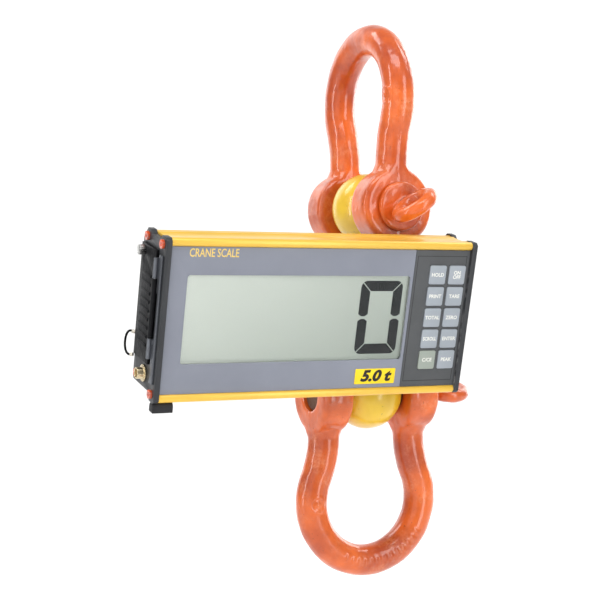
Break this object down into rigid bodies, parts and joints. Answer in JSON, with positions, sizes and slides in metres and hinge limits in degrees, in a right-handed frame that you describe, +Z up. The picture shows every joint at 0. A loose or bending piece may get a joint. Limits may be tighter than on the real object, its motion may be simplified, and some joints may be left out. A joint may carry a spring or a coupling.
{
  "type": "crane scale",
  "caption": "Digital crane scale: a load cell linked by screw-pin bow shackles above and below, with a tilted display and keypad unit on a side bracket.",
  "frame": {"origin": "the inside crown of the upper bow, where a crane hook bears", "axes": "+Z up along the load line, the display faces -Y, the upper screw pin lies along Y and the lower one along X"},
  "size_m": [0.3085, 0.2284, 0.436],
  "materials": {
    "orange_paint": "gloss",
    "yellow_paint": "gloss",
    "dark_casting": "satin",
    "gauge_film": "matte",
    "seal_rubber": "matte",
    "steel_screw": "satin",
    "board_green": "satin",
    "label_yellow": "satin",
    "nickel": "satin",
    "contact_black": "matte",
    "cable_grey": "matte",
    "bracket_grey": "satin",
    "case_metal": "satin",
    "rail_yellow": "satin",
    "panel_grey": "satin",
    "clear_window": "gloss",
    "lcd_green": "satin",
    "frame_black": "matte",
    "keypad_dark": "satin",
    "key_blue": "satin",
    "end_black": "satin",
    "screw_orange": "satin",
    "hinge_metal": "satin",
    "door_black": "matte",
    "cell_sleeve": "gloss",
    "port_metal": "gloss",
    "rope_black": "satin"
  },
  "bodies": {
    "upper_shackle": {"upper_bow": "orange_paint"},
    "upper_pin": {"upper_pin": "orange_paint"},
    "load_cell": {"load_cell": "yellow_paint", "strain_gauges": "gauge_film", "neck_seals": "seal_rubber", "front_shell": "dark_casting", "rear_shell": "dark_casting", "shell_screws": "steel_screw", "amplifier_board": "board_green", "cell_label": "label_yellow", "socket": "nickel", "socket_insert": "contact_black", "plug_body": "nickel", "cable_clamp": "nickel", "clamp_screws": "steel_screw", "plug_grommet": "seal_rubber", "link_cable": "cable_grey", "bracket": "bracket_grey", "bracket_screws": "steel_screw", "bracket_washers": "steel_screw", "bracket_nuts": "steel_screw"},
    "coupling_ring": {"coupling_ring": "nickel"},
    "lower_shackle": {"lower_bow": "orange_paint"},
    "lower_pin": {"lower_pin": "orange_paint"},
    "display": {"display_case": "case_metal", "top_rail": "rail_yellow", "bottom_rail": "rail_yellow", "front_panel": "panel_grey", "window": "clear_window", "lcd_glass": "lcd_green", "lcd_frame": "frame_black", "main_board": "board_green", "keypad_panel": "keypad_dark", "key_board": "board_green", "mount_rails": "case_metal", "left_end_plate": "end_black", "right_end_plate": "end_black", "end_screws": "screw_orange", "hinge_strip": "hinge_metal", "hinge_pin": "steel_screw", "battery_cells": "cell_sleeve", "battery_tray": "frame_black", "aux_port": "port_metal", "lanyard_loop": "rope_black", "end_foot": "seal_rubber", "capacity_label": "label_yellow", "display_gland": "seal_rubber"},
    "battery_door": {"battery_door": "door_black"},
    "door_screw": {"door_screw": "steel_screw"},
    "key_hold": {"key_hold": "key_blue"},
    "key_power": {"key_power": "key_blue"},
    "key_print": {"key_print": "key_blue"},
    "key_tare": {"key_tare": "key_blue"},
    "key_total": {"key_total": "key_blue"},
    "key_zero": {"key_zero": "key_blue"},
    "key_scroll": {"key_scroll": "key_blue"},
    "key_enter": {"key_enter": "key_blue"},
    "key_cancel": {"key_cancel": "key_blue"},
    "key_peak": {"key_peak": "key_blue"}
  },
  "joints": [
    {"name": "upper_pin_draw", "type": "slide", "parent": "upper_shackle", "child": "upper_pin", "axis": [0, -1, 0], "range_m": [0, 0.102]},
    {"name": "load_cell_swing", "type": "hinge", "parent": "upper_shackle", "child": "load_cell", "pos_m": [0, 0, -0.12], "axis": [0, 1, 0], "range_deg": [-80, 80]},
    {"name": "lower_shackle_swing", "type": "hinge", "parent": "load_cell", "child": "lower_shackle", "pos_m": [0, 0, -0.266], "axis": [1, 0, 0], "range_deg": [-70, 85]},
    {"name": "lower_pin_draw", "type": "slide", "parent": "lower_shackle", "child": "lower_pin", "axis": [1, 0, 0], "range_m": [0, 0.102]},
    {"name": "coupling_ring_turn", "type": "hinge", "parent": "load_cell", "child": "coupling_ring", "pos_m": [-0.002, 0.045, -0.193], "axis": [0, 1, 0], "continuous": true},
    {"name": "display_slide_off", "type": "slide", "parent": "load_cell", "child": "display", "axis": [-1, 0, 0], "range_m": [0, 0.065]},
    {"name": "battery_door_open", "type": "hinge", "parent": "display", "child": "battery_door", "pos_m": [-0.2115, -0.08693, -0.19742], "axis": [0, -0.2334, 0.9724], "range_deg": [0, 105]},
    {"name": "door_screw_turn", "type": "hinge", "parent": "battery_door", "child": "door_screw", "pos_m": [-0.213, -0.07053, -0.15564], "axis": [-1, 0, 0], "continuous": true},
    {"name": "key_hold_press", "type": "slide", "parent": "display", "child": "key_hold", "axis": [0, 0.9724, 0.2334], "range_m": [0, 0.0008], "stiffness_N_per_m": 1500},
    {"name": "key_power_press", "type": "slide", "parent": "display", "child": "key_power", "axis": [0, 0.9724, 0.2334], "range_m": [0, 0.0008], "stiffness_N_per_m": 1500},
    {"name": "key_print_press", "type": "slide", "parent": "display", "child": "key_print", "axis": [0, 0.9724, 0.2334], "range_m": [0, 0.0008], "stiffness_N_per_m": 1500},
    {"name": "key_tare_press", "type": "slide", "parent": "display", "child": "key_tare", "axis": [0, 0.9724, 0.2334], "range_m": [0, 0.0008], "stiffness_N_per_m": 1500},
    {"name": "key_total_press", "type": "slide", "parent": "display", "child": "key_total", "axis": [0, 0.9724, 0.2334], "range_m": [0, 0.0008], "stiffness_N_per_m": 1500},
    {"name": "key_zero_press", "type": "slide", "parent": "display", "child": "key_zero", "axis": [0, 0.9724, 0.2334], "range_m": [0, 0.0008], "stiffness_N_per_m": 1500},
    {"name": "key_scroll_press", "type": "slide", "parent": "display", "child": "key_scroll", "axis": [0, 0.9724, 0.2334], "range_m": [0, 0.0008], "stiffness_N_per_m": 1500},
    {"name": "key_enter_press", "type": "slide", "parent": "display", "child": "key_enter", "axis": [0, 0.9724, 0.2334], "range_m": [0, 0.0008], "stiffness_N_per_m": 1500},
    {"name": "key_cancel_press", "type": "slide", "parent": "display", "child": "key_cancel", "axis": [0, 0.9724, 0.2334], "range_m": [0, 0.0008], "stiffness_N_per_m": 1500},
    {"name": "key_peak_press", "type": "slide", "parent": "display", "child": "key_peak", "axis": [0, 0.9724, 0.2334], "range_m": [0, 0.0008], "stiffness_N_per_m": 1500}
  ]
}
